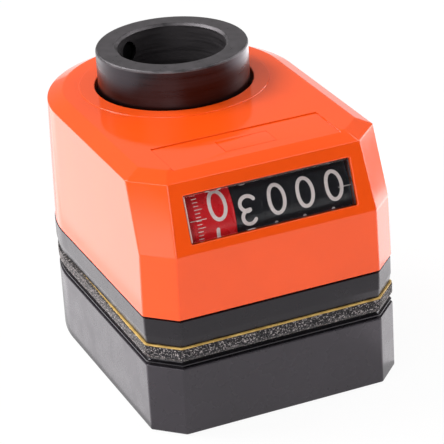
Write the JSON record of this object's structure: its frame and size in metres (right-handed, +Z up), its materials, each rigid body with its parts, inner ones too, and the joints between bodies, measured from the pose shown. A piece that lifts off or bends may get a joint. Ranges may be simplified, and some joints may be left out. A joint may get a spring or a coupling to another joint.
{
  "type": "mechanical position indicator",
  "caption": "Geared hollow-shaft position indicator: a through hub drives a row of digit drums behind a sloped window in a plastic housing on a base block.",
  "frame": {"origin": "on the underside of the base block, in the middle of the footprint's bounding box", "axes": "+Z up along the hub's axis, which passes through x 0, y 9.85 mm; -Y is the front with the window; +X is to the right seen from the front"},
  "size_m": [0.0484, 0.068, 0.0548],
  "materials": {
    "orange_plastic": "glossy orange, injection moulded",
    "clear_plastic": "clear, polished",
    "blackened_steel": "burnished dark steel, bright at worn edges",
    "bright_steel": "bright turned or rolled steel",
    "brass": "machined",
    "black_plastic": "satin black, finely textured",
    "red_plastic": "satin red",
    "drum_plastic": "satin black",
    "gear_plastic": "natural white moulded gear plastic",
    "foam": "open speckled foam",
    "adhesive_film": "yellow film",
    "rubber": "matt",
    "bearing_plastic": "plain bearing plastic"
  },
  "bodies": {
    "case": {"upper_housing": "orange_plastic", "window_lens": "clear_plastic", "upper_bush": "bearing_plastic", "upper_seal": "rubber", "lower_bush": "bearing_plastic", "lower_seal": "rubber", "lower_case": "black_plastic", "gasket_film": "adhesive_film", "foam_gasket": "foam", "base_cover": "black_plastic", "base_body": "black_plastic", "torque_pin": "bright_steel", "counter_frame": "bright_steel", "counter_shaft": "bright_steel", "shaft_clip_left": "bright_steel", "shaft_clip_right": "bright_steel", "carry_plate_1": "gear_plastic", "carry_plate_2": "gear_plastic", "carry_plate_3": "gear_plastic", "carry_plate_4": "gear_plastic", "case_screw_1": "bright_steel", "case_screw_2": "bright_steel", "case_screw_3": "bright_steel", "case_screw_4": "bright_steel", "base_screw_1": "bright_steel", "base_screw_2": "bright_steel", "base_screw_3": "bright_steel", "base_screw_4": "bright_steel", "frame_screw_1": "bright_steel", "frame_screw_2": "bright_steel"},
    "hub": {"hub_sleeve": "blackened_steel", "hub_set_screw": "bright_steel", "drive_gear": "brass", "hub_retaining_ring": "bright_steel"},
    "idler": {"idler_shaft": "bright_steel", "idler_helical_gear": "gear_plastic", "idler_pinion": "gear_plastic"},
    "drum_1": {"digit_drum_1": "red_plastic"},
    "drum_2": {"digit_drum_2": "drum_plastic"},
    "drum_3": {"digit_drum_3": "drum_plastic"},
    "drum_4": {"digit_drum_4": "drum_plastic"},
    "drum_5": {"digit_drum_5": "drum_plastic"},
    "pinion_1": {"transfer_pinion_1": "gear_plastic"},
    "pinion_2": {"transfer_pinion_2": "gear_plastic"},
    "pinion_3": {"transfer_pinion_3": "gear_plastic"},
    "pinion_4": {"transfer_pinion_4": "gear_plastic"}
  },
  "joints": [
    {"name": "hub_spin", "type": "hinge", "parent": "case", "child": "hub", "pos_m": [0, 0.00985, 0.03], "axis": [0, 0, 1], "continuous": true},
    {"name": "idler_spin", "type": "hinge", "parent": "case", "child": "idler", "pos_m": [0, -0.01015, 0.02606], "axis": [1, 0, 0], "continuous": true},
    {"name": "drum_1_spin", "type": "hinge", "parent": "case", "child": "drum_1", "pos_m": [-0.01128, -0.02075, 0.0349], "axis": [1, 0, 0], "continuous": true},
    {"name": "drum_2_spin", "type": "hinge", "parent": "case", "child": "drum_2", "pos_m": [-0.00368, -0.02075, 0.0349], "axis": [1, 0, 0], "continuous": true},
    {"name": "drum_3_spin", "type": "hinge", "parent": "case", "child": "drum_3", "pos_m": [0.00175, -0.02075, 0.0349], "axis": [1, 0, 0], "continuous": true},
    {"name": "drum_4_spin", "type": "hinge", "parent": "case", "child": "drum_4", "pos_m": [0.00717, -0.02075, 0.0349], "axis": [1, 0, 0], "continuous": true},
    {"name": "drum_5_spin", "type": "hinge", "parent": "case", "child": "drum_5", "pos_m": [0.0126, -0.02075, 0.0349], "axis": [1, 0, 0], "continuous": true},
    {"name": "pinion_1_spin", "type": "hinge", "parent": "case", "child": "pinion_1", "pos_m": [-0.0064, -0.01515, 0.0349], "axis": [1, 0, 0], "continuous": true},
    {"name": "pinion_2_spin", "type": "hinge", "parent": "case", "child": "pinion_2", "pos_m": [-0.00097, -0.01515, 0.0349], "axis": [1, 0, 0], "continuous": true},
    {"name": "pinion_3_spin", "type": "hinge", "parent": "case", "child": "pinion_3", "pos_m": [0.00446, -0.01515, 0.0349], "axis": [1, 0, 0], "continuous": true},
    {"name": "pinion_4_spin", "type": "hinge", "parent": "case", "child": "pinion_4", "pos_m": [0.00989, -0.01515, 0.0349], "axis": [1, 0, 0], "continuous": true}
  ],
  "couplings": [
    {"joint": "idler_spin", "follows": "hub_spin", "ratio": -1.8333},
    {"joint": "drum_1_spin", "follows": "hub_spin", "ratio": 1},
    {"joint": "drum_2_spin", "follows": "hub_spin", "ratio": 0.1},
    {"joint": "drum_3_spin", "follows": "hub_spin", "ratio": 0.01},
    {"joint": "drum_4_spin", "follows": "hub_spin", "ratio": 0.001},
    {"joint": "drum_5_spin", "follows": "hub_spin", "ratio": 0.0001},
    {"joint": "pinion_1_spin", "follows": "hub_spin", "ratio": 0.33333},
    {"joint": "pinion_2_spin", "follows": "hub_spin", "ratio": 0.033333},
    {"joint": "pinion_3_spin", "follows": "hub_spin", "ratio": 0.0033333},
    {"joint": "pinion_4_spin", "follows": "hub_spin", "ratio": 0.00033333}
  ]
}
